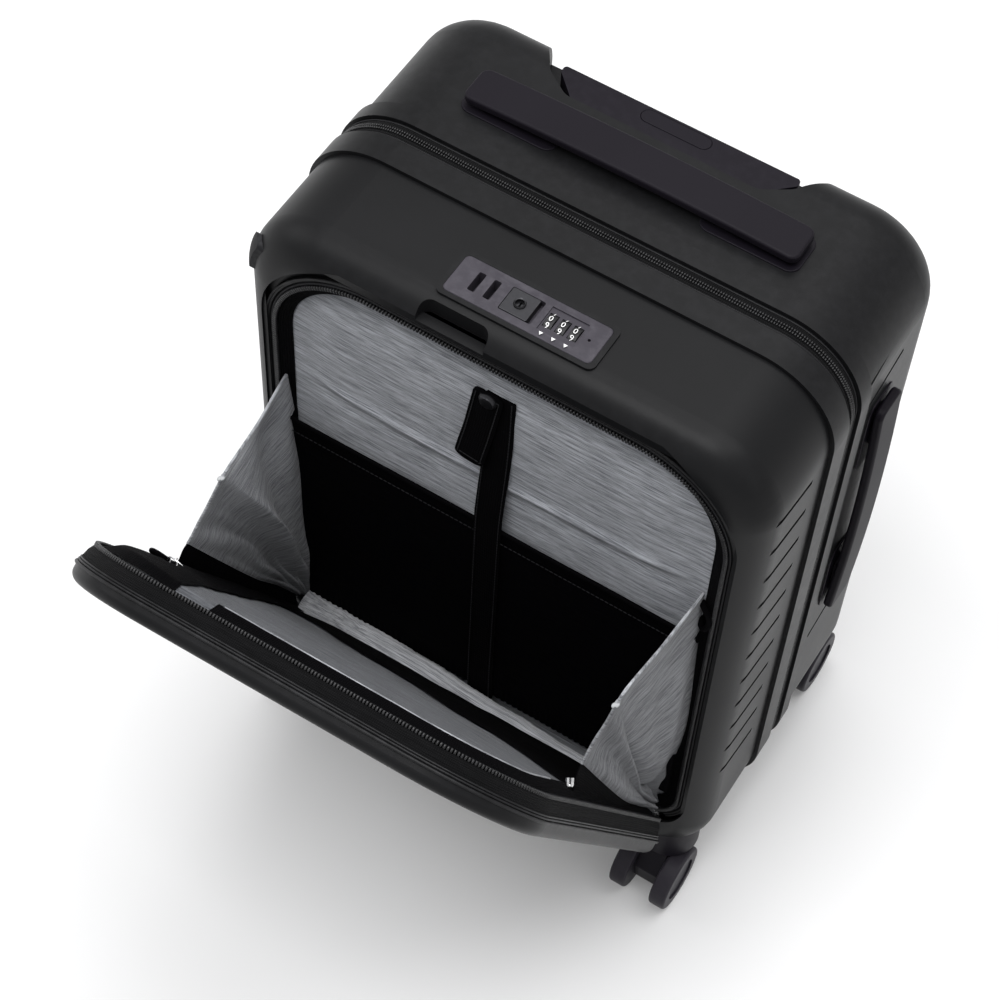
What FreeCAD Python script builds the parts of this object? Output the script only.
"""Hard-shell cabin suitcase with a drop-down front pocket, in millimetres.

X runs to the right seen from the front, Y to the back, Z up. The case is drawn with
Y = 0 on the plane between its two halves and X = 0 on its middle; at the end every
piece moves so that the origin is the middle of the whole part's footprint.
"""
import FreeCAD, Part
import os
from math import sin, cos, radians, sqrt

V = FreeCAD.Vector
os.makedirs("parts", exist_ok=True)

# ---- driving dimensions -------------------------------------------------------
LIP_HALF = 186.0        # half the width over the lips beside the main zip
LIP_TOP = 549.0
LIP_BOTTOM = 54.0
LIP_RADIUS = 57.0       # corner radius of the case seen from the front
LIP_PROUD = 3.0         # lips stand this far outside the two shells
WALL = 2.5

REAR_LIP = (7.0, 20.0)          # y extent of each lip
FRONT_LIP = (-27.0, -8.0)
REAR_BACK = 126.0               # y of the flat back
FRONT_FACE = -108.0             # y of the rim round the pocket
REAR_ROUND = 30.0
FRONT_ROUND = 25.0

POCKET_MARGIN = 17.5            # width of the rim beside the opening in the front shell
POCKET_HALF = LIP_HALF - POCKET_MARGIN
POCKET_TOP = LIP_TOP - 12.0
POCKET_BOTTOM = LIP_BOTTOM + 43.0
POCKET_R_TOP = 78.0
POCKET_R_BOTTOM = 40.0
POCKET_TAPE = 9.0               # width of the pocket's zip tape beside the opening
TEETH_HALF = POCKET_HALF - POCKET_TAPE      # line of the pocket zip
TEETH_TOP = POCKET_TOP - 2 * POCKET_TAPE
TEETH_BOTTOM = POCKET_BOTTOM + 8.0
TEETH_R = 70.0
TEETH_R_BOTTOM = 34.0
CHAIN_END = TEETH_BOTTOM + 4.0  # the pocket zip stops at this height

DOOR_GAP = 4.5                  # between the door's hard panel, when closed, and the rim
DOOR_HALF = POCKET_HALF - DOOR_GAP
DOOR_TOP = POCKET_TOP - 12.0
DOOR_BOTTOM = POCKET_BOTTOM + 4.0
DOOR_R_TOP = 75.0
DOOR_R_BOTTOM = 36.0
DOOR_DEPTH = 10.5
DOOR_BACK = FRONT_FACE - 12.5   # seam between the hard panel and its zip tape
DOOR_FRONT = DOOR_BACK - DOOR_DEPTH
DOOR_ROUND = 6.5
HINGE_Y = FRONT_FACE + 3.0      # line that the door folds about
HINGE_Z = TEETH_BOTTOM
DOOR_OPEN = 28.6                # degrees that the door stands open at rest
DOOR_SKEW = 4.5                 # degrees that its soft hinge hangs out of square, seen from above

HANDLE_LENGTH = 232.0           # carry handles, top and side
HANDLE_WIDTH = 28.0
HANDLE_THICK = 6.5
HANDLE_ARCH = 3.0
HANDLE_CENTRE_Y = 52.0
TOP_HANDLE_RISE = 14.0          # top of the top handle's arch above the case
SIDE_HANDLE_RISE = 11.5         # outer face of the side handle's arch above the side wall
SIDE_HANDLE_Z = 340.0
STEM_END = 12.0                 # between a stem and the end of its handle
STEM_LENGTH = 32.0
HANDLE_STEM = (HANDLE_LENGTH / 2 - STEM_END - STEM_LENGTH, HANDLE_LENGTH / 2 - STEM_END)
STEM_THICK = 11.0
STEM_DEPTH = 22.0

WHEEL_RADIUS = 25.5
WHEEL_WIDTH = 13.0
WHEEL_GAP = 20.0                # between the two wheels of a caster
CASTER_X = LIP_HALF - 33.5
CASTER_Y = (-84.0, 94.0)        # front and rear swivel axes
CASTER_TRAIL = 18.0

CLEAR = 0.3                     # between pieces that move past each other
RUN_FIT = 0.05                  # radial clearance of a shaft in its bore

BODY_TOP = LIP_TOP - LIP_PROUD
BODY_HALF = LIP_HALF - LIP_PROUD
BODY_BOTTOM = LIP_BOTTOM + LIP_PROUD

shapes = {}


# ---- helpers ------------------------------------------------------------------
def outline(half, low, high, r_top, r_bottom, y):
    """Closed wire in the plane y: a rectangle with rounded corners."""
    rt, rb, k = r_top, r_bottom, sqrt(0.5)

    def p(x, z):
        return V(x, y, z)

    arcs = [
        (p(half, high - rt), p(half - rt + rt * k, high - rt + rt * k), p(half - rt, high)),
        (p(-half + rt, high), p(-half + rt - rt * k, high - rt + rt * k), p(-half, high - rt)),
        (p(-half, low + rb), p(-half + rb - rb * k, low + rb - rb * k), p(-half + rb, low)),
        (p(half - rb, low), p(half - rb + rb * k, low + rb - rb * k), p(half, low + rb)),
    ]
    edges = []
    for i, (a, m, b) in enumerate(arcs):
        edges.append(Part.Arc(a, m, b).toShape())
        nxt = arcs[(i + 1) % 4][0]
        edges.append(Part.makeLine(b, nxt))
    return Part.Wire(edges)


def slab(wire, depth):
    return Part.Face(wire).extrude(V(0, depth, 0))


def case_wire(inset, y):
    r = LIP_RADIUS - inset
    return outline(LIP_HALF - inset, LIP_BOTTOM + inset, LIP_TOP - inset, r, r, y)


def case_slab(inset, y0, y1):
    return slab(case_wire(inset, y0), y1 - y0)


def round_face(solid, y, radius):
    """Fillet the edges of a slab that lie in the plane y."""
    edges = [e for e in solid.Edges
             if abs(e.BoundBox.YMin - y) < 1e-6 and abs(e.BoundBox.YMax - y) < 1e-6]
    return solid.makeFillet(radius, edges)


def box(x, y, z):
    """Box from its extents along each axis."""
    return Part.makeBox(x[1] - x[0], y[1] - y[0], z[1] - z[0], V(x[0], y[0], z[0]))


def rounded_box(x, y, z, r, axis="Z"):
    """Box with the edges along one axis rounded."""
    b = box(x, y, z)
    k = {"X": 0, "Y": 1, "Z": 2}[axis]
    edges = []
    for e in b.Edges:
        d = e.Vertexes[1].Point - e.Vertexes[0].Point
        if abs((d.x, d.y, d.z)[k]) > 1e-6:
            edges.append(e)
    return b.makeFillet(r, edges)


def soften(solid, r, keep=lambda e: True):
    """Fillet every edge that the test keeps, or leave the solid as it is."""
    edges = [e for e in solid.Edges if keep(e)]
    try:
        out = solid.makeFillet(r, edges)
        return out if out.isValid() and len(out.Solids) == 1 else solid
    except Exception:
        return solid


def cyl(r, p, axis, h):
    return Part.makeCylinder(r, h, V(*p), V(*axis))


def stadium(cx, cy, length, width, z0, z1):
    return rounded_box((cx - length / 2, cx + length / 2), (cy - width / 2, cy + width / 2),
                       (z0, z1), width / 2 - 0.01)


def one(shape):
    shape = shape.removeSplitter()
    assert len(shape.Solids) == 1 and shape.isValid(), "expected one valid solid"
    return shape.Solids[0]


def about(shape, angle, axis, centre):
    s = shape.copy()
    s.rotate(V(*centre), V(*axis), angle)
    return s


def mirror_x(shape):
    return shape.mirror(V(0, 0, 0), V(1, 0, 0))


def prism_xy(points, z0, z1, r):
    """Upright prism over a plan outline, its upright edges rounded."""
    w = Part.makePolygon([V(x, y, z0) for x, y in points + points[:1]])
    s = Part.Face(w).extrude(V(0, 0, z1 - z0))
    return s.makeFillet(r, [e for e in s.Edges if e.BoundBox.ZLength > (z1 - z0) - 0.1])


def prism_yz(points, x0, x1):
    w = Part.makePolygon([V(x0, y, z) for y, z in points + points[:1]])
    return Part.Face(w).extrude(V(x1 - x0, 0, 0))


# ---- the two moulded shells ------------------------------------------------------
NOTCH_FLOOR = 512.0      # recess that the pull handle sits in
NOTCH_FRONT = 82.0
NOTCH_BRIM_R = 4.5


def notch(g):
    """The recess, grown by g all round."""
    side = [(68 + g * 0.4, NOTCH_FRONT - g), (86 + g, 94 - g * 0.7), (98 + g, 113), (107 + g, 140)]
    pts = [(-x, y) for x, y in reversed(side)] + side
    return prism_xy(pts, NOTCH_FLOOR - g, 600.0, 12.0)


def scoop(g):
    """Finger scoop in the front rim ahead of the lock, grown by g all round."""
    return rounded_box((-57 - g, -10 + g), (-140.0, -94 + g), (531 - g, 600), 7.0)


def side_grooves(ys, top, tilt, skip=lambda sx, z: False):
    """Cutters for the shallow slanting grooves on both side walls."""
    mid, length = (ys[0] + ys[1]) / 2, ys[1] - ys[0]
    cuts = []
    for sx in (-1, 1):
        for i in range(GROOVE_COUNT):
            z = top - i * GROOVE_PITCH
            if skip(sx, z):
                continue
            g = box((-GROOVE_DEPTH, 5.0), (-length / 2, length / 2), (-GROOVE_WIDTH / 2, GROOVE_WIDTH / 2))
            g = about(g, tilt, (1, 0, 0), (0, 0, 0))
            if sx < 0:
                g = mirror_x(g)
            g.translate(V(sx * BODY_HALF, mid, z))
            cuts.append(g)
    return cuts


GROOVE_DEPTH = 1.1
GROOVE_WIDTH = 4.2
GROOVE_COUNT = 11
GROOVE_PITCH = 30.9
GROOVE_TOP = 494.0

rear_outer = round_face(case_slab(LIP_PROUD, REAR_LIP[1], REAR_BACK), REAR_BACK, REAR_ROUND)
rear_cavity = round_face(case_slab(LIP_PROUD + WALL, REAR_LIP[1] - WALL, REAR_BACK - WALL),
                         REAR_BACK - WALL, REAR_ROUND - WALL)
rear_cavity = rear_cavity.cut(notch(WALL))
rear_lip = case_slab(0.0, *REAR_LIP)


def notch_brim(e):
    """The notch's edges where it breaks through the top and the back."""
    b = e.BoundBox
    high = b.ZMin > NOTCH_FLOOR + 1 and b.ZMax > NOTCH_FLOOR + 8
    return high and b.YMin > NOTCH_FRONT - 1 and abs(b.Center.x) < 112


rear_shell = soften(rear_outer.cut(notch(0.0)), NOTCH_BRIM_R, notch_brim).fuse(rear_lip)
rear_shell = rear_shell.cut(case_slab(LIP_PROUD, REAR_LIP[0], REAR_LIP[1] - WALL)).cut(rear_cavity)

front_outer = round_face(case_slab(LIP_PROUD, FRONT_FACE, FRONT_LIP[0]), FRONT_FACE, FRONT_ROUND)
front_cavity = round_face(case_slab(LIP_PROUD + WALL, FRONT_FACE + WALL, FRONT_LIP[0] + WALL),
                          FRONT_FACE + WALL, FRONT_ROUND - WALL)
full_cavity = front_cavity
front_cavity = front_cavity.cut(scoop(WALL))
front_lip = case_slab(0.0, *FRONT_LIP)
front_shell = front_outer.cut(scoop(0.0)).fuse(front_lip)
front_shell = front_shell.cut(case_slab(LIP_PROUD, FRONT_LIP[0] + WALL, FRONT_LIP[1])).cut(front_cavity)


def pocket_wire(inset, y):
    return outline(POCKET_HALF - inset, POCKET_BOTTOM + inset, POCKET_TOP - inset,
                   POCKET_R_TOP - inset, POCKET_R_BOTTOM - inset, y)


def teeth_wire(inset, y):
    return outline(TEETH_HALF - inset, TEETH_BOTTOM + inset, TEETH_TOP - inset,
                   TEETH_R - inset, TEETH_R_BOTTOM - inset, y)


FLANGE = (FRONT_FACE + 8.0, FRONT_FACE + 11.0)      # flange inside the rim that the pocket is built on
COIL_RISE = 4.2                 # the pocket's coil stands this far ahead of the flange
mouth_depth = FLANGE[0] - COIL_RISE - FRONT_FACE
front_shell = front_shell.cut(slab(pocket_wire(0.0, FRONT_FACE - 30), 30 + mouth_depth))
flange = box((-200, 200), FLANGE, (20, 600)).common(front_cavity)
flange = flange.cut(slab(teeth_wire(-1.5, FLANGE[0]), FLANGE[1] - FLANGE[0]))
front_shell = front_shell.fuse(flange)


def beside_handle(sx, z):
    return sx > 0 and abs(z - SIDE_HANDLE_Z) < HANDLE_LENGTH / 2 + 10


front_shell = front_shell.cut(side_grooves((-92.0, -45.0), GROOVE_TOP - 5, -12.0))
rear_shell = rear_shell.cut(side_grooves((24.0, 74.0), GROOVE_TOP + 11, 14.0, beside_handle))

# ---- lock seat on top of the front shell ---------------------------------------------
LOCK_LENGTH = 101.0
LOCK_WIDTH = 29.5
LOCK_Y = -72.0
LOCK_PLATE = 1.8
LOCK_BODY = (92.0, 22.0, 18.0)      # length, width, depth below the shell's skin
seat_ridge = rounded_box((-54, 54), (LOCK_Y - 18, LOCK_Y + 18), (BODY_TOP - 0.4, BODY_TOP + 1.4), 5.0)
seat_inner = rounded_box((-LOCK_LENGTH / 2 - 0.1, LOCK_LENGTH / 2 + 0.1),
                         (LOCK_Y - LOCK_WIDTH / 2 - 0.1, LOCK_Y + LOCK_WIDTH / 2 + 0.1),
                         (BODY_TOP, BODY_TOP + 5), 3.6)
front_shell = front_shell.fuse(seat_ridge).cut(seat_inner)
lock_hole = box((-LOCK_BODY[0] / 2, LOCK_BODY[0] / 2), (LOCK_Y - LOCK_BODY[1] / 2, LOCK_Y + LOCK_BODY[1] / 2),
                (BODY_TOP - 10, BODY_TOP + 5))
front_shell = front_shell.cut(lock_hole)

# ---- carry handle seats -----------------------------------------------------------------
CUP_LENGTH = 2 * STEM_END + STEM_LENGTH + 12.0
CUP_CENTRE = HANDLE_LENGTH / 2 - STEM_LENGTH
CUP_WIDTH = HANDLE_WIDTH + 4.0
CUP_FLANGE = 1.0


def to_side(shape):
    """Carry a piece of the top handle over to the right-hand side."""
    s = shape.copy()
    s.translate(V(0, 0, -BODY_TOP))
    s.rotate(V(0, 0, 0), V(0, 1, 0), 90)
    s.translate(V(BODY_HALF, 0, SIDE_HANDLE_Z))
    return s


def cup(sx):
    """Moulded guide that a handle stem slides in; its flange lies on the shell."""
    cx = sx * CUP_CENTRE
    sx0 = sx * (HANDLE_STEM[0] + HANDLE_STEM[1]) / 2
    stem_l = HANDLE_STEM[1] - HANDLE_STEM[0]
    flange = rounded_box((cx - CUP_LENGTH / 2, cx + CUP_LENGTH / 2),
                         (HANDLE_CENTRE_Y - CUP_WIDTH / 2, HANDLE_CENTRE_Y + CUP_WIDTH / 2),
                         (BODY_TOP, BODY_TOP + CUP_FLANGE), 8.0)
    flange = soften(flange, 0.6, lambda e: e.BoundBox.ZMin > BODY_TOP + CUP_FLANGE - 0.01)
    well = box((sx0 - stem_l / 2 - 3, sx0 + stem_l / 2 + 3),
               (HANDLE_CENTRE_Y - STEM_THICK / 2 - 3, HANDLE_CENTRE_Y + STEM_THICK / 2 + 3),
               (BODY_TOP - STEM_DEPTH - 4, BODY_TOP))
    bore = box((sx0 - stem_l / 2 - CLEAR, sx0 + stem_l / 2 + CLEAR),
               (HANDLE_CENTRE_Y - STEM_THICK / 2 - CLEAR, HANDLE_CENTRE_Y + STEM_THICK / 2 + CLEAR),
               (BODY_TOP - STEM_DEPTH - 1, BODY_TOP + 5))
    return one(flange.fuse(well).cut(bore)), well


def handle_bar(rise):
    """Arched bar with two stems, drawn over the top of the case and rising so far above it."""
    half = HANDLE_LENGTH / 2
    top, low = BODY_TOP + rise, BODY_TOP + rise - HANDLE_THICK
    y0 = HANDLE_CENTRE_Y - HANDLE_WIDTH / 2
    pts_top = (V(-half, y0, top - HANDLE_ARCH), V(0, y0, top), V(half, y0, top - HANDLE_ARCH))
    pts_low = (V(half, y0, low - HANDLE_ARCH), V(0, y0, low), V(-half, y0, low - HANDLE_ARCH))
    w = Part.Wire([Part.Arc(*pts_top).toShape(), Part.makeLine(pts_top[2], pts_low[0]),
                   Part.Arc(*pts_low).toShape(), Part.makeLine(pts_low[2], pts_top[0])])
    bar = Part.Face(w).extrude(V(0, HANDLE_WIDTH, 0))
    corners = [e for e in bar.Edges if e.BoundBox.ZLength > HANDLE_THICK - 0.1 and e.BoundBox.YLength < 0.01
               and e.BoundBox.XLength < 0.01]
    bar = bar.makeFillet(6.0, corners)
    bar = soften(bar, 2.0, lambda e: e.BoundBox.YLength < 0.01 and e.BoundBox.XLength > 100)
    stems = []
    for sx in (-1, 1):
        a, b = sorted((sx * HANDLE_STEM[0], sx * HANDLE_STEM[1]))
        stems.append(box((a, b), (HANDLE_CENTRE_Y - STEM_THICK / 2, HANDLE_CENTRE_Y + STEM_THICK / 2),
                         (BODY_TOP - STEM_DEPTH, top - HANDLE_ARCH - HANDLE_THICK / 2)))
    return one(bar.fuse(stems))


shapes["carry_handle"] = handle_bar(TOP_HANDLE_RISE)
shapes["side_handle"] = one(to_side(handle_bar(SIDE_HANDLE_RISE)))
wells = []
for name, sx in (("left", -1), ("right", 1)):
    c, well = cup(sx)
    shapes["carry_guide_" + name] = c
    wells.append(well)
    shapes["side_guide_" + ("lower" if sx > 0 else "upper")] = one(to_side(c))
    wells.append(to_side(well))
rear_shell = rear_shell.cut(wells)

# ---- pull handle ------------------------------------------------------------------------
TUBE_X = 60.0
TUBE_Y = 100.0
TUBE = (16.0, 9.0)              # inner tube, along x and y
TUBE_WALL = 1.2
GUIDE_WALL = 2.0
GUIDE_BOTTOM = 80.0
GRIP_TOP = 537.0
GRIP_THICK = 17.0
PULL_TRAVEL = 370.0

tube_holes = []
for name, sx in (("left", -1), ("right", 1)):
    cx = sx * TUBE_X
    w, d = TUBE[0] / 2, TUBE[1] / 2
    tube = rounded_box((cx - w, cx + w), (TUBE_Y - d, TUBE_Y + d),
                       (GUIDE_BOTTOM + 6, GRIP_TOP - GRIP_THICK + 5), 2.5)
    wi, di = w - TUBE_WALL, d - TUBE_WALL
    tube = tube.cut(rounded_box((cx - wi, cx + wi), (TUBE_Y - di, TUBE_Y + di),
                                (GUIDE_BOTTOM, GRIP_TOP), 1.5))
    shapes["pull_tube_" + name] = one(tube)
    guide_out = rounded_box((cx - w - GUIDE_WALL - CLEAR, cx + w + GUIDE_WALL + CLEAR),
                            (TUBE_Y - d - GUIDE_WALL - CLEAR, TUBE_Y + d + GUIDE_WALL + CLEAR),
                            (GUIDE_BOTTOM, NOTCH_FLOOR - WALL), 3.0)
    guide_in = rounded_box((cx - w - CLEAR, cx + w + CLEAR), (TUBE_Y - d - CLEAR, TUBE_Y + d + CLEAR),
                           (GUIDE_BOTTOM + 3, NOTCH_FLOOR), 2.6)
    shapes["pull_guide_" + name] = one(guide_out.cut(guide_in))
    through = rounded_box((cx - w - CLEAR, cx + w + CLEAR), (TUBE_Y - d - CLEAR, TUBE_Y + d + CLEAR),
                          (NOTCH_FLOOR - 10, NOTCH_FLOOR + 10), 2.6)
    rear_shell = rear_shell.cut(through)
    tube_holes.append(through)

bezel = prism_xy([(-78, 114.5), (-78, 90), (-66, 84), (66, 84), (78, 90), (78, 114.5)],
                 NOTCH_FLOOR, NOTCH_FLOOR + 2.0, 4.0)
shapes["pull_bezel"] = one(bezel.cut(tube_holes))

grip = prism_xy([(-84, 110), (-84, 104.5), (-68, 89), (68, 89), (84, 104.5), (84, 110)],
                GRIP_TOP - GRIP_THICK, GRIP_TOP, 2.5)
grip = soften(grip, 4.5, lambda e: e.BoundBox.YMax < 92 and e.BoundBox.ZLength < 0.01)
BUTTON = (49.0, 10.4, 102.8)    # length, width, y of its middle
button_well = stadium(0, BUTTON[2], BUTTON[0] + 2 * CLEAR, BUTTON[1] + 2 * CLEAR, GRIP_TOP - 7, GRIP_TOP + 5)
sockets = [rounded_box((cx - TUBE[0] / 2, cx + TUBE[0] / 2), (TUBE_Y - TUBE[1] / 2, TUBE_Y + TUBE[1] / 2),
                       (GRIP_TOP - GRIP_THICK - 5, GRIP_TOP - GRIP_THICK + 5), 2.5)
           for cx in (-TUBE_X, TUBE_X)]
shapes["pull_grip"] = one(grip.cut(button_well).cut(sockets))
button = stadium(0, BUTTON[2], BUTTON[0], BUTTON[1], GRIP_TOP - 4.5, GRIP_TOP + 0.3)
shapes["grip_button"] = one(soften(button, 0.5, lambda e: e.BoundBox.ZMin > GRIP_TOP))

# ---- main zip: one tape per half, with the coil on its free edge ----------------------------
TAPE_THICK = 1.2
COIL = 2.2
STRIP_Z = (150.0, 450.0)        # the fabric hinge takes the zip's place on the left side


def main_tape(y_edge, y_tuck):
    """Tape under the lip, from y_tuck to its free edge, coil included."""
    lo, hi = sorted((y_edge, y_tuck))
    tape = case_slab(LIP_PROUD, lo, hi).cut(case_slab(LIP_PROUD + TAPE_THICK, lo, hi))
    c_lo, c_hi = sorted((y_edge, y_edge + COIL * (1 if y_tuck > y_edge else -1)))
    coil = case_slab(LIP_PROUD - 0.9, c_lo, c_hi).cut(case_slab(LIP_PROUD + TAPE_THICK, c_lo, c_hi))
    gap = box((-LIP_HALF - 5, -LIP_HALF + 30), (lo - 1, hi + 1), STRIP_Z)
    return one(tape.fuse(coil).cut(gap))


strip = box((-BODY_HALF, -BODY_HALF + 1.0), (FRONT_LIP[1] + 0.5, REAR_LIP[1] - WALL),
            (STRIP_Z[0] + 0.5, STRIP_Z[1] - 0.5))
joined = box((-BODY_HALF, -BODY_HALF + 1.0), (3.0, REAR_LIP[1] - WALL), (STRIP_Z[0] - 0.5, STRIP_Z[1] + 0.5))
shapes["rear_zip_tape"] = one(main_tape(CLEAR, REAR_LIP[1] - WALL).fuse([strip, joined]))
shapes["front_zip_tape"] = main_tape(-CLEAR, FRONT_LIP[0] + WALL)

# its slider, parked under the case, with a pull that hangs from a cross pin
SLIDER_X = -60.0
PULL_PIN_R = 0.7
PULL_EYE_R = 1.6
PULL_THICK = 1.6
PULL_LENGTH = 27.0
under = BODY_BOTTOM - 0.9 - CLEAR
slider_low = under - 2.4
pin_z = slider_low - PULL_EYE_R - CLEAR
slider = rounded_box((SLIDER_X - 5, SLIDER_X + 5), (-5, 5), (slider_low, under), 2.0)
slider = slider.fuse(box((SLIDER_X - 4, SLIDER_X + 4), (2 * CLEAR, 4), (under - 1, under + CLEAR)))
for side in (-1, 1):
    cheek = sorted((side * 2.2, side * 3.4))
    slider = slider.fuse(box((SLIDER_X - 1.6, SLIDER_X + 1.6), cheek, (pin_z - 1.4, slider_low + 0.2)))
slider = slider.fuse(cyl(PULL_PIN_R, (SLIDER_X, -2.4, pin_z), (0, 1, 0), 4.8))
shapes["main_zip_slider"] = one(slider)
pull_x = (SLIDER_X - PULL_THICK / 2, SLIDER_X + PULL_THICK / 2)
pull = rounded_box(pull_x, (-4, 4), (pin_z - PULL_LENGTH, pin_z - 4), 2.5, "X")
pull = pull.fuse([box(pull_x, (-1.9, 1.9), (pin_z - 5, pin_z)),
                  cyl(PULL_EYE_R, (SLIDER_X, -1.9, pin_z), (0, 1, 0), 3.8)])
shapes["main_zip_pull"] = one(pull.cut(cyl(PULL_PIN_R + RUN_FIT, (SLIDER_X, -5, pin_z), (0, 1, 0), 10)))

# ---- pocket in the front shell ------------------------------------------------------------
TAPE_Y = FLANGE[0]
pocket_tape = slab(teeth_wire(-POCKET_TAPE, TAPE_Y - 1.4), 1.4).cut(slab(teeth_wire(0.0, TAPE_Y - 1.4), 1.4))
coil_y = TAPE_Y - COIL_RISE
pocket_coil = slab(teeth_wire(-3.0, coil_y), 2.8).cut(slab(teeth_wire(0.0, coil_y), 2.8))
pocket_tape = pocket_tape.fuse(pocket_coil).cut(box((-200, 200), (-150, 0), (0, CHAIN_END)))
shapes["pocket_zip_tape"] = one(pocket_tape.common(full_cavity.fuse(
    slab(pocket_wire(0.4, FRONT_FACE - 5), 20))))

PANEL = (FLANGE[1], FLANGE[1] + 3.0)
panel = slab(outline(POCKET_HALF + 5.5, POCKET_BOTTOM - 6.0, POCKET_TOP - 6.0, POCKET_R_TOP + 2.0,
                     POCKET_R_BOTTOM + 5.0, PANEL[0]), PANEL[1] - PANEL[0])
shapes["pocket_panel"] = one(panel.common(front_cavity))

SLEEVE_MARGIN = 7.5             # between the sleeve's sides and the zip
SLEEVE_HALF = TEETH_HALF - SLEEVE_MARGIN
SLEEVE_Z = (TEETH_BOTTOM + 27.0, 358.0)
SLEEVE_DEPTH = 8.0
SLEEVE_SKIN = 1.5
sleeve_y = (PANEL[0] - SLEEVE_DEPTH, PANEL[0])
sleeve_x = (-SLEEVE_HALF, SLEEVE_HALF)
sleeve_in = SLEEVE_HALF - SLEEVE_SKIN
round_part = rounded_box(sleeve_x, sleeve_y, SLEEVE_Z, 12.0, "Y").cut(
    box((-200, 200), (-200, 0), (SLEEVE_Z[0] + 40, 600)))
sleeve = round_part.fuse(box(sleeve_x, sleeve_y, (SLEEVE_Z[0] + 40, SLEEVE_Z[1])))
sleeve = sleeve.cut(box((-sleeve_in, sleeve_in), (sleeve_y[0] + SLEEVE_SKIN, sleeve_y[1]),
                        (SLEEVE_Z[0] + 14.0, SLEEVE_Z[1] + 1)))
shapes["laptop_sleeve"] = one(sleeve)

STRAP_X = (-9.0, 11.0)
STRAP_TOP = 490.0
STRAP_THICK = 1.5
SNAP_AT = (-6.0, 486.0)         # x and z of the press stud
TAB_WIDTH = 21.0
TAB_Z = (418.0, 493.0)
TAB_LEAN = 8.0                  # degrees that the tab hangs to one side
front_sheet = PANEL[0] - SLEEVE_DEPTH
strap = prism_yz([(PANEL[0], STRAP_TOP), (PANEL[0] - STRAP_THICK, STRAP_TOP),
                  (PANEL[0] - STRAP_THICK, STRAP_TOP - 30), (front_sheet - STRAP_THICK, SLEEVE_Z[1] - 6),
                  (front_sheet - STRAP_THICK, SLEEVE_Z[0] + 4), (front_sheet, SLEEVE_Z[0] + 4),
                  (front_sheet, SLEEVE_Z[1] + CLEAR), (PANEL[0], STRAP_TOP - 34)], *STRAP_X)
shapes["sleeve_strap"] = one(strap)
tab_back = PANEL[0] - STRAP_THICK
tab = prism_yz([(tab_back, TAB_Z[1]), (tab_back - 3, TAB_Z[1]), (tab_back - 3, STRAP_TOP - 30),
                (tab_back - 7, TAB_Z[0]), (tab_back - 4.5, TAB_Z[0]), (tab_back, STRAP_TOP - 28)],
               SNAP_AT[0] - TAB_WIDTH / 2, SNAP_AT[0] + TAB_WIDTH / 2)
tab = soften(tab, 4.0, lambda e: e.BoundBox.XLength < 0.01 and e.BoundBox.ZLength < 0.01)
tab = about(tab, TAB_LEAN, (0, 1, 0), (SNAP_AT[0], 0, SNAP_AT[1]))
SNAP_R = 6.0
snap = cyl(SNAP_R, (SNAP_AT[0], tab_back - 2.6, SNAP_AT[1]), (0, -1, 0), 2.0)
shapes["strap_tab"] = one(tab.cut(strap).fuse(soften(snap, 0.6, lambda e: e.BoundBox.YMax < tab_back - 4.5)))

# ---- door, drawn closed and then folded open ------------------------------------------------


def door_wire(inset, y):
    return outline(DOOR_HALF - inset, DOOR_BOTTOM + inset, DOOR_TOP - inset,
                   DOOR_R_TOP - inset, DOOR_R_BOTTOM - inset, y)


def loft(a, b):
    return Part.makeLoft([a, b], True, True)


HINGE = V(0, HINGE_Y, HINGE_Z)
HINGE_AXIS = V(cos(radians(DOOR_SKEW)), -sin(radians(DOOR_SKEW)), 0)
TEETH_Y = coil_y - CLEAR          # faces the shell's own coil when closed
door_shell = round_face(slab(door_wire(0.0, DOOR_FRONT), DOOR_BACK - DOOR_FRONT), DOOR_FRONT, DOOR_ROUND)
door_shell = door_shell.cut(round_face(slab(door_wire(WALL, DOOR_FRONT + WALL), DOOR_BACK - DOOR_FRONT),
                                       DOOR_FRONT + WALL, DOOR_ROUND - WALL))
band = loft(door_wire(0.8, DOOR_BACK), door_wire(4.5, TEETH_Y - 2.8))
band = band.cut(loft(door_wire(2.2, DOOR_BACK), door_wire(5.9, TEETH_Y - 2.8)))
piping = slab(door_wire(-1.0, DOOR_BACK), 2.2).cut(slab(door_wire(2.2, DOOR_BACK), 2.2))
door_coil = slab(door_wire(4.5, TEETH_Y - 2.8), 2.8).cut(slab(door_wire(7.5, TEETH_Y - 2.8), 2.8))
door_coil = door_coil.cut(box((-300, 300), (-200, 0), (0, CHAIN_END)))
door_tape = band.fuse(piping).fuse(door_coil)
DOOR_PANEL_Y = (DOOR_BACK + 3.0, DOOR_BACK + 4.4)
door_panel = slab(door_wire(3.6, DOOR_PANEL_Y[0]), DOOR_PANEL_Y[1] - DOOR_PANEL_Y[0])
door_panel = max(door_panel.cut(door_tape).Solids, key=lambda q: q.Volume)
INNER_ZIP_Z = 407.0             # the door's own inner zip ends here on the right
inner_face = DOOR_PANEL_Y[1]
INNER_ZIP_X = DOOR_HALF - 13.5
inner_slider = rounded_box((INNER_ZIP_X - 4.5, INNER_ZIP_X + 4.5), (inner_face, inner_face + 3.0),
                           (INNER_ZIP_Z - 4, INNER_ZIP_Z + 4), 1.5, "Y")
inner_slider = inner_slider.fuse(rounded_box((INNER_ZIP_X - 3, INNER_ZIP_X + 3),
                                             (inner_face + 1.0, inner_face + 2.4),
                                             (INNER_ZIP_Z - 24, INNER_ZIP_Z + 2), 2.0, "Y"))
for name, s in (("door_shell", door_shell), ("door_zip_tape", door_tape),
                ("door_panel", door_panel.fuse(inner_slider))):
    shapes[name] = one(about(s, DOOR_OPEN, HINGE_AXIS, HINGE))


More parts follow.
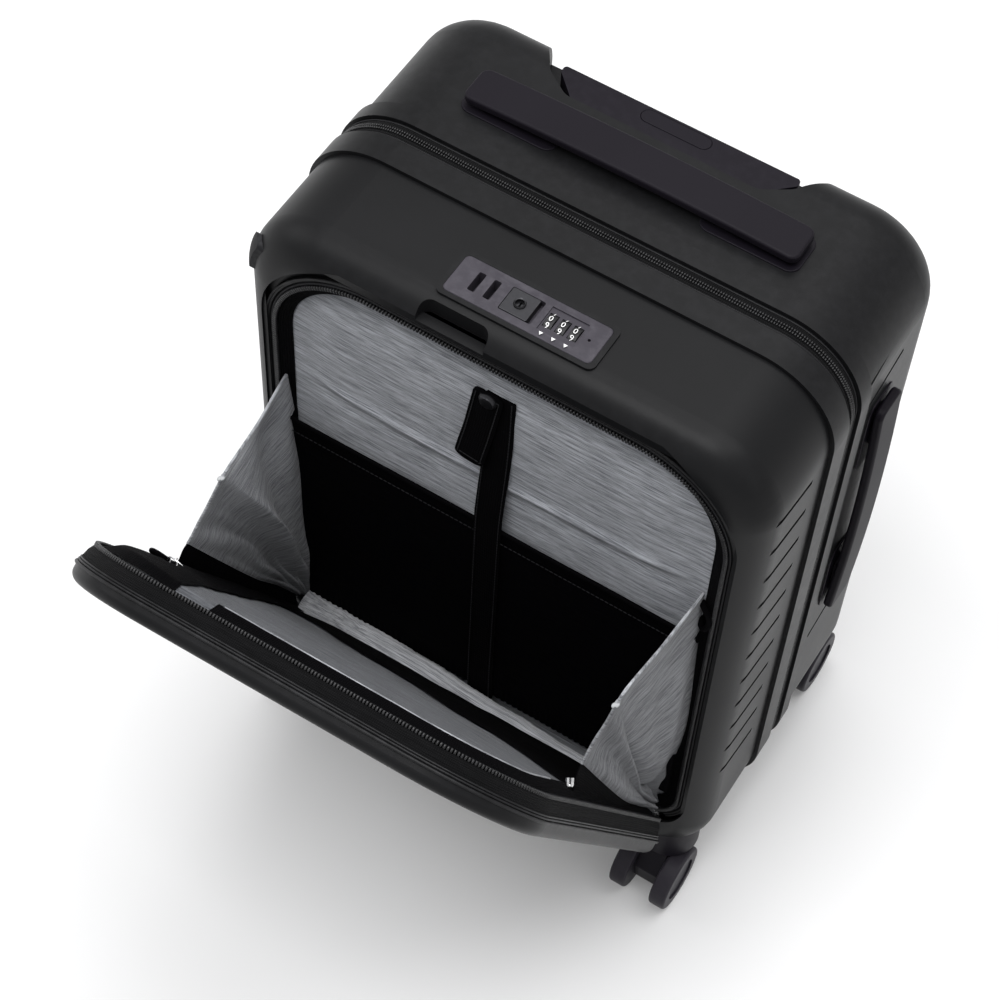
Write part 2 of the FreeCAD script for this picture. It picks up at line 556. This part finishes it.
def on_door(x, y, z):
    """Where a point of the closed door lies once the door stands open."""
    return HINGE + FreeCAD.Rotation(HINGE_AXIS, DOOR_OPEN).multVec(V(x, y, z) - HINGE)


# ---- gussets and floor of the pocket -----------------------------------------------------------
GUSSET_THICK = 1.2
GUSSET_BACK = (TEETH_HALF - 1.0, TEETH_HALF - 3.0)  # half spread at the panel, top and bottom
GUSSET_TACK = (TEETH_HALF - 11.5, -172.0, 402.0)
GUSSET_DOOR = (DOOR_HALF - 23.0, DOOR_HALF - 20.0)      # half spread on the door, top and bottom
FLOOR_HALF = DOOR_HALF - 23.0
door_side_y = DOOR_PANEL_Y[1] + 2 * CLEAR
for name, sx in (("left", -1), ("right", 1)):
    tack = V(sx * GUSSET_TACK[0], *GUSSET_TACK[1:])
    pts = [V(sx * GUSSET_BACK[0], PANEL[0], 398.0), tack, on_door(sx * GUSSET_DOOR[0], door_side_y, 400.0),
           on_door(sx * GUSSET_DOOR[1], door_side_y, 150.0), V(sx * GUSSET_BACK[1], PANEL[0], 136.0)]
    sheets = []
    for tri in ((0, 1, 4), (1, 3, 4), (1, 2, 3)):
        face = Part.Face(Part.makePolygon([pts[i] for i in tri + tri[:1]]))
        sheets.append(face.extrude(V(-sx * GUSSET_THICK, 0, 0)))
    shapes["gusset_" + name] = one(sheets[0].fuse(sheets[1:]))
fold = on_door(FLOOR_HALF, door_side_y, 146.0)
floor_section = [(front_sheet, 134.0), (front_sheet - 11, 131.0), (fold.y + 1, fold.z - 1.5),
                 (fold.y + 1, fold.z), (front_sheet - 11, 132.5), (front_sheet, 135.5)]
shapes["pocket_floor"] = one(prism_yz(floor_section, -FLOOR_HALF, FLOOR_HALF))

# slider of the pocket zip, parked at the chain's right-hand end beside the hinge
PARK = (TEETH_HALF - 13.0, TEETH_BOTTOM + 0.6)      # x and z of the slider
shapes["pocket_slider"] = rounded_box((PARK[0] - 4, PARK[0] + 4), (FLANGE[0] - 4, FLANGE[0]),
                                      (PARK[1] - 3, PARK[1] + 3), 1.5, "Y")
# ---- lock --------------------------------------------------------------------------------------
DIAL_R = 8.0
DIAL_W = 5.6
DIALS = (15.6, 23.9, 32.2)
DIAL_Z = BODY_TOP + LOCK_PLATE - 7.2
plate = rounded_box((-LOCK_LENGTH / 2, LOCK_LENGTH / 2), (LOCK_Y - LOCK_WIDTH / 2, LOCK_Y + LOCK_WIDTH / 2),
                    (BODY_TOP, BODY_TOP + LOCK_PLATE), 3.5)
plate = soften(plate, 0.7, lambda e: e.BoundBox.ZMin > BODY_TOP + LOCK_PLATE - 0.01)
body = box((-LOCK_BODY[0] / 2, LOCK_BODY[0] / 2), (LOCK_Y - LOCK_BODY[1] / 2, LOCK_Y + LOCK_BODY[1] / 2),
           (BODY_TOP - LOCK_BODY[2], BODY_TOP))
SLOTS = (-35.0, -24.5)
slot_cuts = [rounded_box((x - 2.4, x + 2.4), (LOCK_Y - 7.5, LOCK_Y + 7.5), (BODY_TOP - 9, BODY_TOP + 9), 1.0)
             for x in SLOTS]
lock = plate.fuse(body).cut(slot_cuts)
for x in DIALS:
    bay = (x - DIAL_W / 2 - CLEAR, LOCK_Y, DIAL_Z)
    lock = lock.cut(cyl(DIAL_R + CLEAR, bay, (1, 0, 0), DIAL_W + 2 * CLEAR))
pin_x = (DIALS[0] - 7.0, DIALS[2] + 7.0)
DIAL_PIN_R = 1.5
dial_pin = cyl(DIAL_PIN_R, (pin_x[0], LOCK_Y, DIAL_Z), (1, 0, 0), pin_x[1] - pin_x[0])
lock = lock.fuse(dial_pin)
BUTTON_X = (-15.0, 4.0)
LOCK_TRAVEL = 2.5
well = rounded_box((BUTTON_X[0] - CLEAR, BUTTON_X[1] + LOCK_TRAVEL + 0.6), (LOCK_Y - 9.3, LOCK_Y + 9.3),
                   (BODY_TOP - 3, BODY_TOP + 9), 1.2)
reset = cyl(1.0, (41.5, LOCK_Y, BODY_TOP - 2), (0, 0, 1), 9)
window = box((DIALS[0] - 4.2, DIALS[2] + 4.2), (LOCK_Y - 9.5, LOCK_Y + 9.5), (BODY_TOP + 0.9, BODY_TOP + 9))
shapes["lock_housing"] = one(lock.cut(well).cut(reset).cut(window).fuse(dial_pin))
for i, x in enumerate(DIALS):
    d = cyl(DIAL_R, (x - DIAL_W / 2, LOCK_Y, DIAL_Z), (1, 0, 0), DIAL_W)
    d = soften(d, 0.4, lambda e: e.BoundBox.XLength < 0.01)
    d = d.cut(cyl(DIAL_PIN_R + RUN_FIT, (x - 20, LOCK_Y, DIAL_Z), (1, 0, 0), 40))
    shapes["lock_dial_%s" % "abc"[i]] = one(d)
key = rounded_box(BUTTON_X, (LOCK_Y - 9.0, LOCK_Y + 9.0),
                  (BODY_TOP - 3 + CLEAR, BODY_TOP + LOCK_PLATE + 0.4), 1.0)
key = soften(key, 0.5, lambda e: e.BoundBox.ZMin > BODY_TOP + LOCK_PLATE)
key = key.cut(cyl(3.2, (-5.5, LOCK_Y, BODY_TOP + 0.6), (0, 0, 1), 9)).cut(
    box((-6.1, -4.9), (LOCK_Y - 2.4, LOCK_Y + 2.4), (BODY_TOP - 1.5, BODY_TOP + 9)))
shapes["lock_button"] = one(key)

# ---- lining of the rear half ----------------------------------------------------------------------
LINER = 0.8
LINER_BACK = TUBE_Y - TUBE[1] / 2 - CLEAR - GUIDE_WALL - 0.4
liner = case_slab(LIP_PROUD + WALL, REAR_LIP[1], LINER_BACK).cut(
    case_slab(LIP_PROUD + WALL + LINER, REAR_LIP[1], LINER_BACK - LINER))
liner = liner.common(rear_cavity)
liner = liner.cut(notch(WALL + 0.05)).cut([w for w in wells])
liner_sheet = box((-300, 300), (LINER_BACK - LINER, LINER_BACK), (0, 600))
shapes["rear_lining"] = max(liner.cut(liner_sheet).Solids, key=lambda s: s.Volume)
shapes["rear_lining_back"] = max(liner.common(liner_sheet).Solids, key=lambda s: s.Volume)

# ---- feet on the left side ---------------------------------------------------------------------------
FOOT = (11.0, 27.0, 2.8)
foot_wraps = [round_face(case_slab(LIP_PROUD - FOOT[2], FRONT_FACE - FOOT[2], -58.0),
                         FRONT_FACE - FOOT[2], FRONT_ROUND + FOOT[2]),
              round_face(case_slab(LIP_PROUD - FOOT[2], 58.0, REAR_BACK + FOOT[2]),
                         REAR_BACK + FOOT[2], REAR_ROUND + FOOT[2])]
for half, wrap, y, z_list, nm in ((front_outer, foot_wraps[0], -97.0, (505.0, 130.0), "front_foot_"),
                                  (rear_outer, foot_wraps[1], 112.0, (480.0, 130.0), "rear_foot_")):
    for tag, z in zip(("upper", "lower"), z_list):
        pad = rounded_box((-LIP_HALF - 5.0, -BODY_HALF + 40), (y - FOOT[0] / 2, y + FOOT[0] / 2),
                          (z - FOOT[1] / 2, z + FOOT[1] / 2), 4.0, "X")
        pad = pad.common(wrap).cut(half)
        shapes[nm + tag] = max(pad.Solids, key=lambda s: s.Volume)

# ---- corner housings and casters ------------------------------------------------------------------------
HOUSING_SKIN = 2.0
HOUSING_LOW = 53.0
wrap_front = round_face(case_slab(LIP_PROUD - HOUSING_SKIN, FRONT_FACE - HOUSING_SKIN, -58.0),
                        FRONT_FACE - HOUSING_SKIN, FRONT_ROUND + HOUSING_SKIN)
wrap_rear = round_face(case_slab(LIP_PROUD - HOUSING_SKIN, 58.0, REAR_BACK + HOUSING_SKIN),
                       REAR_BACK + HOUSING_SKIN, REAR_ROUND + HOUSING_SKIN)
PIVOT_R = 4.0
PIVOT_RISE = 6.0                # the fork's pivot stands this far into the housing
BOSS_R = 22.0
for end, wrap, outer, face, cy in (("front", wrap_front, front_outer, FRONT_FACE, CASTER_Y[0]),
                                   ("rear", wrap_rear, rear_outer, REAR_BACK, CASTER_Y[1])):
    s = -1 if end == "front" else 1
    top_edge = [(s * 58.0, 40.0), (s * 140.0, 40.0), (s * 140.0, 68.0), (s * 90.0, 68.0), (s * 62.0, 60.0)]
    region = prism_yz(top_edge, CASTER_X - 34.5, CASTER_X + 108.0)
    skin = wrap.common(region).cut(outer)
    boss = cyl(BOSS_R, (CASTER_X, cy, HOUSING_LOW), (0, 0, 1), 40.0).cut(outer)
    boss = max(boss.Solids, key=lambda q: -q.CenterOfMass.z)
    hole = cyl(PIVOT_R + RUN_FIT, (CASTER_X, cy, HOUSING_LOW - 5.0), (0, 0, 1), 5.0 + PIVOT_RISE + CLEAR)
    housing = one(skin.fuse(boss).cut(hole))
    shapes["housing_%s_right" % end] = housing
    shapes["housing_%s_left" % end] = one(mirror_x(housing))

    # fork: a turning plate and a web between the two wheels
    wy = cy + s * CASTER_TRAIL
    plate_top = HOUSING_LOW - 0.5
    web_half = WHEEL_GAP / 2 - 0.6
    profile = [(cy - s * 13, plate_top), (cy + s * 17, plate_top), (wy + s * 12, WHEEL_RADIUS + 8),
               (wy + s * 10, WHEEL_RADIUS - 11), (wy - s * 6, WHEEL_RADIUS - 12),
               (cy - s * 9, WHEEL_RADIUS + 9)]
    web = prism_yz(profile, CASTER_X - web_half, CASTER_X + web_half)
    web = soften(web, 3.0, lambda e: e.BoundBox.XLength > 15 and e.BoundBox.ZMax < plate_top - 1)
    disc = cyl(web_half + 2.0, (CASTER_X, cy, plate_top - 3.0), (0, 0, 1), 3.0)
    pivot_low = plate_top - 2.0
    pivot = cyl(PIVOT_R, (CASTER_X, cy, pivot_low), (0, 0, 1), HOUSING_LOW + PIVOT_RISE - pivot_low)
    axle = cyl(3.0, (CASTER_X - WHEEL_GAP / 2 - WHEEL_WIDTH + 2.5, wy, WHEEL_RADIUS), (1, 0, 0),
               WHEEL_GAP + 2 * WHEEL_WIDTH - 5.0)
    # the plate stays inside the gap between the wheels
    disc = disc.common(box((CASTER_X - web_half, CASTER_X + web_half), (cy - 40, cy + 40), (0, 60)))
    fork = one(web.fuse(disc).fuse(axle).fuse(pivot))
    wheels = {}
    for tag, x0 in (("inner", CASTER_X - WHEEL_GAP / 2 - WHEEL_WIDTH), ("outer", CASTER_X + WHEEL_GAP / 2)):
        w = cyl(WHEEL_RADIUS, (x0, wy, WHEEL_RADIUS), (1, 0, 0), WHEEL_WIDTH)
        w = w.makeFillet(2.2, [e for e in w.Edges if e.BoundBox.XLength < 0.01])
        out_x = x0 if tag == "inner" else x0 + WHEEL_WIDTH
        d = 1 if tag == "inner" else -1
        dish = cyl(16.5, (out_x - 0.001 * d, wy, WHEEL_RADIUS), (d, 0, 0), 1.6)
        w = w.cut(dish)
        # blind bore from the fork's side
        b0 = x0 + 2.3 if tag == "inner" else x0 - 1
        w = w.cut(cyl(3.0 + RUN_FIT, (b0, wy, WHEEL_RADIUS), (1, 0, 0), WHEEL_WIDTH - 1.3))
        wheels[tag] = one(w)
    for side, flip in (("right", False), ("left", True)):
        m = mirror_x if flip else (lambda q: q)
        shapes["fork_%s_%s" % (end, side)] = one(m(fork))
        for tag in wheels:
            shapes["wheel_%s_%s_%s" % (end, side, tag)] = one(m(wheels[tag]))

# the rear shell is kept as lip, walls and back, so that each stays a simple ring or dish
REAR_CUTS = (REAR_LIP[1], REAR_BACK - REAR_ROUND)
rear_shell = one(rear_shell)
for name, y0, y1 in (("rear_lip", -50.0, REAR_CUTS[0]), ("rear_wall", *REAR_CUTS),
                     ("rear_shell", REAR_CUTS[1], 300.0)):
    shapes[name] = one(rear_shell.common(box((-300, 300), (y0, y1), (0, 600))))
shapes["front_shell"] = one(front_shell)

# ---- the origin goes to the middle of the footprint ----------------------------------------------
whole = Part.makeCompound(list(shapes.values())).optimalBoundingBox(False, False)
MIDDLE = V(whole.Center.x, whole.Center.y, 0)

for name in sorted(shapes):
    shape = shapes[name].copy()
    shape.translate(-MIDDLE)
    assert shape.isValid(), name
    shape.exportStep("parts/%s.step" % name)
    b = shape.BoundBox
    print("%-26s %8.1f cm3  x %7.1f %7.1f  y %7.1f %7.1f  z %7.1f %7.1f" % (
        name, shape.Volume / 1000, b.XMin, b.XMax, b.YMin, b.YMax, b.ZMin, b.ZMax))
print(len(shapes), "nodes, origin moved by %.4f %.4f" % (MIDDLE.x, MIDDLE.y))
